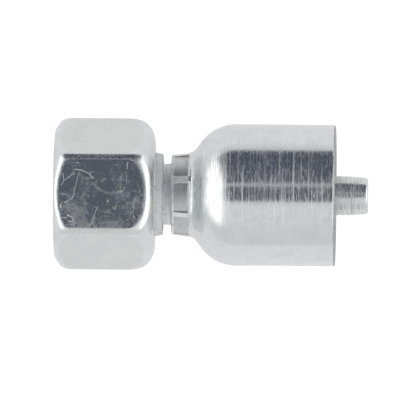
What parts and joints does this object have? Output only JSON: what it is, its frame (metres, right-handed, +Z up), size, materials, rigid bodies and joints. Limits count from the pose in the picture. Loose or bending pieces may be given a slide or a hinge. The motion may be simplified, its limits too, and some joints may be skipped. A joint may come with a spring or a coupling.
{
  "type": "crimp hose fitting",
  "caption": "Straight hydraulic hose end: hexagonal swivel nut, coned sealing nose with a rubber ring, barbed hose tail and bell-shaped crimp shell.",
  "frame": {"origin": "on the ground, under the middle of the fitting's bounding box", "axes": "+X along the fitting's axis from the swivel nut to the hose tail, +Z up, with one of the nut's flats up and one down"},
  "size_m": [0.0514, 0.0248, 0.0232],
  "materials": {
    "nut_steel": "bright zinc plate over drawn hexagon bar, scuffed",
    "stem_steel": "bright zinc plate over turned steel",
    "shell_steel": "bright zinc plate over turned steel, fine turning lines",
    "seal_rubber": "matt black nitrile rubber"
  },
  "bodies": {
    "stem_and_shell": {"stem": "stem_steel", "shell": "shell_steel", "o_ring": "seal_rubber"},
    "nut": {"swivel_nut": "nut_steel"}
  },
  "joints": [
    {"name": "nut_spin", "type": "hinge", "parent": "stem_and_shell", "child": "nut", "pos_m": [-0.017, 0, 0.0116], "axis": [1, 0, 0], "continuous": true}
  ]
}
